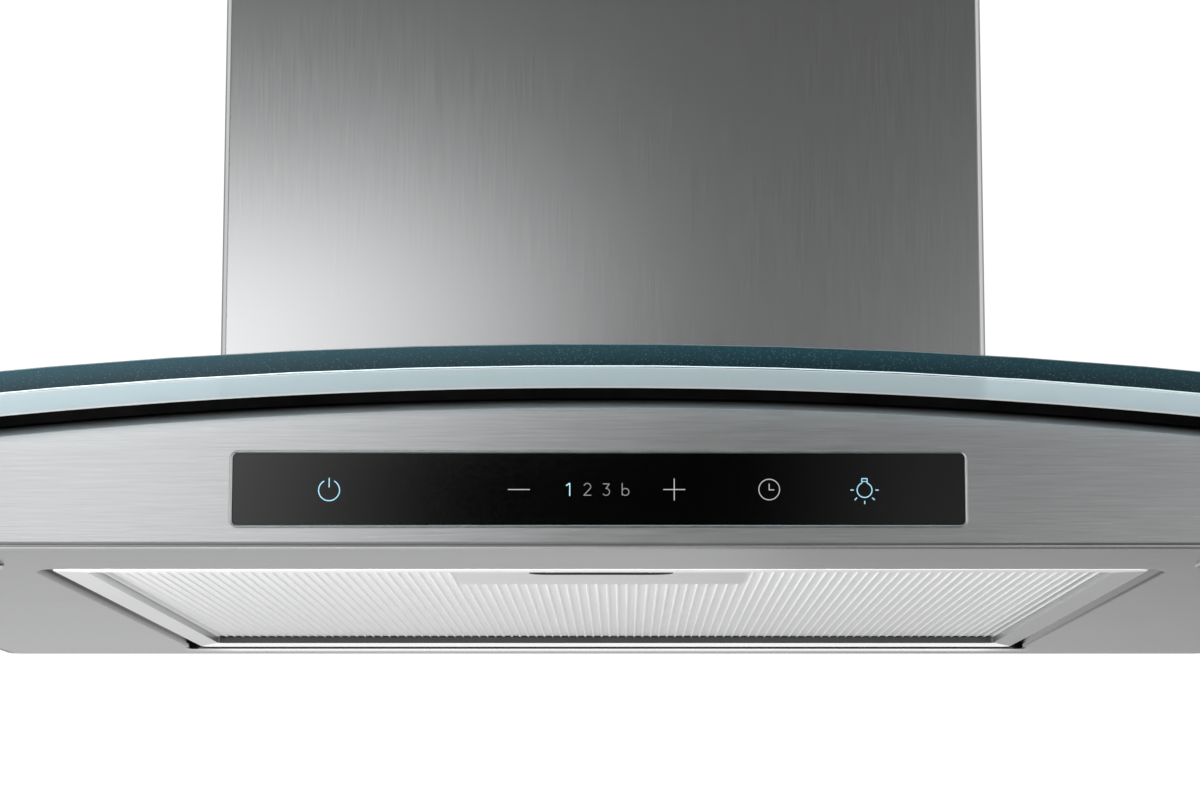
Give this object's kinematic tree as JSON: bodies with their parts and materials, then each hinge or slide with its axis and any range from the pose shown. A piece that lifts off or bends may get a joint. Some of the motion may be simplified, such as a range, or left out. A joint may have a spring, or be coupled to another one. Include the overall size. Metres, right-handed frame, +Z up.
{
  "type": "range hood",
  "caption": "Wall-mounted chimney cooker hood with an arched glass canopy, brushed steel fascia with touch controls, ribbed grease filter, lamps, blower and telescoping chimney.",
  "frame": {"origin": "centre of the four wall-screw holes, on the wall plane", "axes": "+X to the viewer's right, +Y towards the wall, +Z up; the fascia faces -Y"},
  "size_m": [0.598, 0.4867, 0.6314],
  "materials": {
    "canopy_glass": "clear tempered, ground edge",
    "seal_rubber": "matt black",
    "steel_fascia": "horizontal grain",
    "steel_chimney": "vertical grain",
    "steel_underside": "fine satin",
    "galvanised_sheet": "galvanised",
    "screw_steel": "zinc plated",
    "spring_steel": "bright",
    "bezel_polished": "polished",
    "control_black_glass": "black printed behind, gloss",
    "circuit_board": "solder mask",
    "circuit_board_white": "white solder mask",
    "black_plastic": "moulded",
    "grey_plastic": "moulded",
    "filter_frame_metal": "satin",
    "filter_mesh_metal": "ribbed, bright",
    "scroll_plastic": "moulded",
    "motor_paint": "black baked",
    "impeller_steel": "galvanised",
    "capacitor_white": "moulded",
    "lamp_bezel_metal": "satin",
    "lamp_lens_frost": "frosted",
    "lamp_cast": "cast"
  },
  "bodies": {
    "hood_body": {"blower_chassis": "galvanised_sheet", "blower_grommets": "seal_rubber", "blower_screws": "screw_steel", "body_screws": "screw_steel", "body_shell": "steel_fascia", "bottom_panel": "steel_underside", "cable_gland": "black_plastic", "chassis_feet": "galvanised_sheet", "chassis_top": "galvanised_sheet", "collar_flange": "black_plastic", "control_bezel": "bezel_polished", "control_glass": "control_black_glass", "control_housing": "black_plastic", "electronics_box": "grey_plastic", "electronics_lid": "grey_plastic", "flap_pins": "spring_steel", "front_fascia": "steel_fascia", "glass_canopy": "canopy_glass", "glass_clamp_bolts": "screw_steel", "glass_gasket": "seal_rubber", "glass_pads": "seal_rubber", "inlet_grille": "black_plastic", "lamp_bezel_left": "lamp_bezel_metal", "lamp_bezel_right": "lamp_bezel_metal", "lamp_board_left": "circuit_board_white", "lamp_board_right": "circuit_board_white", "lamp_housing_left": "lamp_cast", "lamp_housing_right": "lamp_cast", "lamp_lens_left": "lamp_lens_frost", "lamp_lens_right": "lamp_lens_frost", "lower_chimney": "steel_chimney", "motor_body": "motor_paint", "motor_bracket": "galvanised_sheet", "motor_capacitor": "capacitor_white", "outlet_collar": "black_plastic", "outlet_seal": "seal_rubber", "panel_brackets": "galvanised_sheet", "pivot_seats": "black_plastic", "power_board": "circuit_board", "scroll_left": "scroll_plastic", "scroll_right": "scroll_plastic", "top_panel": "galvanised_sheet", "touch_board": "circuit_board"},
    "upper_chimney": {"upper_chimney": "steel_chimney", "chimney_bracket": "galvanised_sheet", "upper_chimney_screws": "screw_steel"},
    "impeller": {"impeller": "impeller_steel", "impeller_blades": "impeller_steel", "motor_shaft": "spring_steel"},
    "damper_left": {"damper_flap_left": "grey_plastic"},
    "damper_right": {"damper_flap_right": "grey_plastic"},
    "grease_filter": {"filter_frame": "filter_frame_metal", "filter_mesh": "filter_mesh_metal", "filter_back_mesh": "filter_mesh_metal", "filter_core": "filter_mesh_metal", "handle_plate": "filter_frame_metal", "handle_housing": "black_plastic", "filter_pivots": "black_plastic", "latch_springs": "spring_steel"},
    "filter_latch": {"filter_latch": "grey_plastic"}
  },
  "joints": [
    {"name": "chimney_extend", "type": "slide", "parent": "hood_body", "child": "upper_chimney", "axis": [0, 0, 1], "range_m": [-0.06, 0.33]},
    {"name": "impeller_spin", "type": "hinge", "parent": "hood_body", "child": "impeller", "pos_m": [0, -0.118, -0.025], "axis": [1, 0, 0], "continuous": true},
    {"name": "damper_left_swing", "type": "hinge", "parent": "hood_body", "child": "damper_left", "pos_m": [-0.004, -0.138, 0.155], "axis": [0, 1, 0], "range_deg": [0, 80]},
    {"name": "damper_right_swing", "type": "hinge", "parent": "hood_body", "child": "damper_right", "pos_m": [0.004, -0.138, 0.155], "axis": [0, -1, 0], "range_deg": [0, 80]},
    {"name": "filter_swing", "type": "hinge", "parent": "hood_body", "child": "grease_filter", "pos_m": [0, -0.047, -0.186], "axis": [1, 0, 0], "range_deg": [0, 85]},
    {"name": "latch_pull", "type": "slide", "parent": "grease_filter", "child": "filter_latch", "axis": [0, 1, 0], "range_m": [0, 0.006], "stiffness_N_per_m": 400, "springref_m": -0.003, "deforming": ["latch_springs"]}
  ]
}
